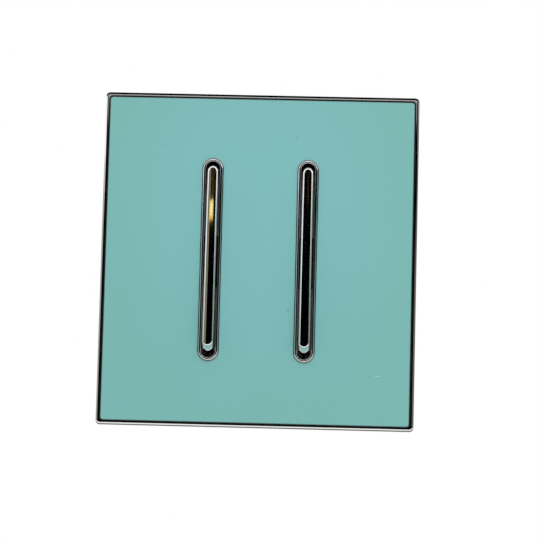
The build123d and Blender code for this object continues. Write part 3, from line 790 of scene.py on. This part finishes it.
coil_tree, coil_in, coil_out = new_tree(
    "coil_spring",
    [
        ("Turns", "Float"),
        ("Coil Radius", "Float"),
        ("Coil Height", "Float"),
        ("Wire Radius", "Float"),
        ("Steps", "Int"),
        ("Lean", "Vector"),
        ("Foot", "Vector"),
        ("Finish", "Material"),
    ],
)
helix = add_node(
    coil_tree,
    "GeometryNodeCurveSpiral",
    [
        ("Resolution", coil_in.outputs["Steps"]),
        ("Rotations", coil_in.outputs["Turns"]),
        ("Start Radius", coil_in.outputs["Coil Radius"]),
        ("End Radius", coil_in.outputs["Coil Radius"]),
        ("Height", coil_in.outputs["Coil Height"]),
    ],
)
wire = add_node(
    coil_tree,
    "GeometryNodeCurvePrimitiveCircle",
    [("Resolution", WIRE_STEPS), ("Radius", coil_in.outputs["Wire Radius"])],
)
wound = add_node(
    coil_tree,
    "GeometryNodeCurveToMesh",
    [("Curve", helix.outputs[0]), ("Profile Curve", wire.outputs[0]), ("Fill Caps", True)],
)
edged_coil = smooth_with_edges(coil_tree, wound.outputs[0])
leaning = add_node(
    coil_tree,
    "GeometryNodeTransform",
    [
        ("Geometry", edged_coil),
        ("Translation", coil_in.outputs["Foot"]),
        ("Rotation", coil_in.outputs["Lean"]),
    ],
)
end_tree(coil_tree, coil_in, coil_out, leaning.outputs[0])

# %% [markdown]
# ## Springs in place
#
# The levels are distances from the pivot along the plunger's tube, which leans with the rocker.
# The coil reaches from just under the roof of the tube to the end of the plunger.

# %% Two finished springs
ROCKER_LEAN = radians(4.1)
PIVOT_DEPTH = 1.00 * MM
COIL_TOP_LEVEL = 3.65 * MM
COIL_FOOT_LEVEL = 6.95 * MM
COIL_RADIUS = 0.95 * MM
WIRE_RADIUS = 0.20 * MM
COIL_TURNS = 3.5
COIL_STEPS = 24

outwards = Vector((0.0, -cos(ROCKER_LEAN), sin(ROCKER_LEAN)))
for side in SIDES:
    pivot = Vector(((-SCREW_ACROSS if side == "left" else SCREW_ACROSS), PIVOT_DEPTH, 0.0))
    values = {
        "Turns": COIL_TURNS,
        "Coil Radius": COIL_RADIUS,
        "Coil Height": COIL_FOOT_LEVEL - COIL_TOP_LEVEL,
        "Wire Radius": WIRE_RADIUS,
        "Steps": COIL_STEPS,
        "Lean": (pi / 2 - ROCKER_LEAN, 0.0, 0.0),
        "Foot": tuple(pivot - outwards * COIL_FOOT_LEVEL),
        "Finish": metals["spring_steel"],
    }
    start = bpy.data.meshes.new("coil_spring_" + side)
    coil = finished_mesh("coil_spring_" + side, start, coil_tree, values, "rocker_" + side)
    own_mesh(coil)
    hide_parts("plunger_spring_" + side)

# %% [markdown]
# ## The camera
#
# The photograph was taken almost square on from about half a metre, slightly from below and
# with the camera rolled a degree and a half. The lens is long, so the two long edges of the
# plate stay almost parallel. The camera looks from its place at a point on the glass, and the
# roll turns it about that line.

# %% Place the camera
CAMERA_PLACE = Vector((0.01909, -0.54820, -0.05299))
CAMERA_TARGET = Vector((0.00324, -0.00800, -0.00259))
CAMERA_ROLL = radians(1.478)
CAMERA_LENS = 133.33
SENSOR_WIDTH = 36.0
NEAREST_SEEN = 10.0 * MM

camera_data = bpy.data.cameras.new("camera")
camera_data.lens = CAMERA_LENS
camera_data.sensor_width = SENSOR_WIDTH
camera_data.clip_start = NEAREST_SEEN
camera = bpy.data.objects.new("camera", camera_data)
look = CAMERA_TARGET - CAMERA_PLACE
aim = look.to_track_quat("-Z", "Y") @ Quaternion((0, 0, 1), CAMERA_ROLL)
camera.matrix_world = Matrix.Translation(CAMERA_PLACE) @ aim.to_matrix().to_4x4()
bpy.context.collection.objects.link(camera)
bpy.context.scene.camera = camera
print("camera distance in mm:", round(look.length / MM, 1))

# %% [markdown]
# ## The studio
#
# Chrome shows its surroundings, so the studio is part of the picture. A white room gives the
# pale lines along the edges. Dark panels behind the camera turn every face that looks straight
# out black, which is how photographers draw chrome. Smaller cards give the greys, the olive and
# the yellow streaks, and a soft lamp gives the glass its even light.
#
# The room has two strengths. The camera and mirror-like rays see plain white, and the rays that
# carry light about get less, so that the shadows keep their depth.

# %% White room
ROOM_LIGHT = 0.62
WHITE = (1.0, 1.0, 1.0, 1.0)


def seen_or_mirrored(tree):
    """1 for rays from the camera and for mirror-like ones, 0 for those that only carry light."""
    path = tree.nodes.new("ShaderNodeLightPath")
    first_two = maths(tree, "MAXIMUM", path.outputs["Is Camera Ray"], path.outputs["Is Glossy Ray"])
    return maths(tree, "MAXIMUM", first_two, path.outputs["Is Transmission Ray"])


bpy.context.scene.view_settings.view_transform = "Standard"
world = bpy.data.worlds.new("white_room")
bpy.context.scene.world = world
world.use_nodes = True
room = world.node_tree
room.nodes.clear()
choice = room.nodes.new("ShaderNodeMixShader")
room.links.new(seen_or_mirrored(room), choice.inputs["Fac"])
for socket, strength in ((choice.inputs[1], ROOM_LIGHT), (choice.inputs[2], 1.0)):
    background = room.nodes.new("ShaderNodeBackground")
    background.inputs["Color"].default_value = WHITE
    background.inputs["Strength"].default_value = strength
    room.links.new(background.outputs["Background"], socket)
output = room.nodes.new("ShaderNodeOutputWorld")
room.links.new(choice.outputs["Shader"], output.inputs["Surface"])
print("room nodes:", len(room.nodes))

# %% [markdown]
# ## Cards
#
# A card is a flat rectangle of even brightness. Only mirror-like rays see it, so it draws a line
# or a tone in the chrome and takes no light from the rest. Four cards reach only the left rocker
# and one only the frame. Real cards can't be that choosy: there, a photographer would shade the
# other parts by hand.

# %% Cards that only reflections see
def flat_card(name, low, high):
    """A flat card between two corners that share one coordinate."""
    level = next(axis for axis in range(3) if low[axis] == high[axis])
    first, second = (axis for axis in range(3) if axis != level)
    corners = []
    for a, b in ((0, 0), (1, 0), (1, 1), (0, 1)):
        corner = list(low)
        corner[first] = (low, high)[a][first]
        corner[second] = (low, high)[b][second]
        corners.append(corner)
    mesh = bpy.data.meshes.new(name)
    mesh.from_pydata(corners, [], [(0, 1, 2, 3)])
    card = bpy.data.objects.new(name, mesh)
    bpy.context.collection.objects.link(card)
    return card


def glow(name, colour):
    """A surface of even brightness, whatever light falls on it."""
    finish = bpy.data.materials.new(name)
    finish.use_nodes = True
    tree = finish.node_tree
    tree.nodes.clear()
    emission = tree.nodes.new("ShaderNodeEmission")
    emission.inputs["Color"].default_value = (*colour, 1.0)
    end = tree.nodes.new("ShaderNodeOutputMaterial")
    tree.links.new(emission.outputs["Emission"], end.inputs["Surface"])
    return finish


def only_in_reflections(card):
    card.visible_camera = False
    card.visible_diffuse = False
    card.visible_shadow = False
    card.visible_transmission = False


def lights_only(card, name):
    """Lets a glowing card light only the named part."""
    chosen = bpy.data.collections.new(card.name + "_lights")
    chosen.objects.link(nodes[name])
    card.light_linking.receiver_collection = chosen


BLACK = (0.0008, 0.0008, 0.0008)
# Each card: two opposite corners and its brightness in red, green and blue.
CARDS = {
    "camera_side_dark": ((-1.2, -1.20, -0.159), (0.75, -1.20, 0.19), BLACK),
    "camera_side_dark_upper": ((-1.2, -1.20, 0.19), (2.6, -1.20, 0.43), BLACK),
    "dark_front_floor": ((-1.2, -1.20, -0.158), (1.0, -0.45, -0.158), BLACK),
    "olive_side": ((0.75, -1.20, -0.159), (2.6, -1.20, 0.19), (0.12, 0.125, 0.11)),
    "left_wall": ((-1.2, -1.20, -0.159), (-1.2, 0.80, 0.20), (0.36, 0.38, 0.35)),
    "right_wall": ((2.6, -1.20, -0.159), (2.6, 2.20, 0.60), (0.17, 0.17, 0.16)),
    "grey_ceiling": ((-1.5, -0.10, 1.30), (1.5, 0.90, 1.30), (0.12, 0.12, 0.12)),
    "flag_above": ((-0.06, -0.0145, 0.0475), (0.06, -0.0045, 0.0475), BLACK),
    "grey_line": ((-0.20, -1.195, 0.240), (0.14, -1.195, 0.280), (0.30, 0.30, 0.295)),
    "olive_under": ((-1.5, -0.06, -0.159), (1.5, 0.25, -0.159), (0.16, 0.17, 0.13)),
    "beige_strip": ((-0.60, -1.19, 0.19), (-0.21, -1.19, 0.385), (0.22, 0.185, 0.13)),
    "warm_lamp": ((-0.038, -0.130, 0.0425), (-0.008, -0.130, 0.0495), (0.84, 0.53, 0.11)),
    "warm_core": ((-0.032, -0.128, 0.0435), (-0.013, -0.128, 0.0482), (1.0, 0.90, 0.40)),
    "olive_streak": ((-0.14, -1.19, 0.346), (-0.04, -1.19, 0.385), (0.03, 0.03, 0.008)),
    "brown_streak": ((-0.02, -1.19, 0.343), (0.06, -1.19, 0.365), (0.05, 0.018, 0.004)),
}
REACHES_ONLY = {
    "grey_line": "trim_frame",
    "beige_strip": "rocker_cap_left",
    "warm_lamp": "rocker_cap_left",
    "warm_core": "rocker_cap_left",
    "olive_streak": "rocker_cap_left",
}
for name, (low, high, colour) in CARDS.items():
    card = flat_card(name, low, high)
    card.data.materials.append(glow(name, colour))
    only_in_reflections(card)
    if name in REACHES_ONLY:
        lights_only(card, REACHES_ONLY[name])
print("cards:", len(CARDS), "of which", len(REACHES_ONLY), "reach one part only")

# %% [markdown]
# ## Floor
#
# The switch hangs as it would on a wall, over a plain pale floor. Rays from the camera and from
# mirror-like surfaces see a share of plain white on it, so that it blends with the background,
# and the rest of it still shows the shadow. The share grows with the distance from the switch,
# so the far edge can't be seen.

# %% Floor that fades into white
FLOOR_HEIGHT = -0.16
FLOOR_HALF = 3.0
FLOOR_TONE = (0.85, 0.85, 0.85)
FLOOR_TONE_LOW = (0.83, 0.83, 0.83)
FLOOR_TONE_HIGH = (0.87, 0.87, 0.87)
FLOOR_ROUGHNESS = 0.8
FLOOR_DRIFT_SIZE = 0.3
FADE_FROM = 0.3
FADE_TO = 1.6
NEAR_SHARE = 0.75

floor = flat_card("floor", (-FLOOR_HALF, -FLOOR_HALF, FLOOR_HEIGHT), (FLOOR_HALF, FLOOR_HALF, FLOOR_HEIGHT))
floor_finish = start_finish("pale_floor", FLOOR_TONE, FLOOR_ROUGHNESS)
drift_of_tone(floor_finish, noise_pattern(floor_finish, FLOOR_DRIFT_SIZE), FLOOR_TONE_LOW, FLOOR_TONE_HIGH)
tree = floor_finish.node_tree
place = tree.nodes.new("ShaderNodeTexCoord")
away = tree.nodes.new("ShaderNodeVectorMath")
away.operation = "LENGTH"
share = tree.nodes.new("ShaderNodeMapRange")
share.inputs["From Min"].default_value = FADE_FROM
share.inputs["From Max"].default_value = FADE_TO
share.inputs["To Min"].default_value = NEAR_SHARE
plain_white = tree.nodes.new("ShaderNodeEmission")
blend = tree.nodes.new("ShaderNodeMixShader")
tree.links.new(place.outputs["Object"], away.inputs[0])
tree.links.new(away.outputs["Value"], share.inputs["Value"])
amount = maths(tree, "MULTIPLY", seen_or_mirrored(tree), share.outputs["Result"])
tree.links.new(amount, blend.inputs["Fac"])
tree.links.new(shader_of(floor_finish).outputs["BSDF"], blend.inputs[1])
tree.links.new(plain_white.outputs["Emission"], blend.inputs[2])
tree.links.new(blend.outputs["Shader"], tree.nodes["Material Output"].inputs["Surface"])
floor.data.materials.append(floor_finish)
print("floor height in mm:", round(FLOOR_HEIGHT / MM))

# %% [markdown]
# ## The soft lamp
#
# One square lamp of a metre hangs behind the camera, above it and to the right, and looks at the
# switch. A big lamp near its subject gives soft shadows, as a window would. Mirror-like rays
# don't see it, because the cards already draw what the chrome shows.

# %% Soft lamp
LAMP_PLACE = Vector((0.30, -1.15, 0.55))
LAMP_SIZE = 1.0
LAMP_POWER = 7.4

lamp_data = bpy.data.lights.new("soft_lamp", "AREA")
lamp_data.shape = "SQUARE"
lamp_data.size = LAMP_SIZE
lamp_data.energy = LAMP_POWER
lamp = bpy.data.objects.new("soft_lamp", lamp_data)
lamp_aim = (-LAMP_PLACE).to_track_quat("-Z", "Y")
lamp.matrix_world = Matrix.Translation(LAMP_PLACE) @ lamp_aim.to_matrix().to_4x4()
lamp.visible_glossy = False
bpy.context.collection.objects.link(lamp)
print("lamp distance in mm:", round(LAMP_PLACE.length / MM))
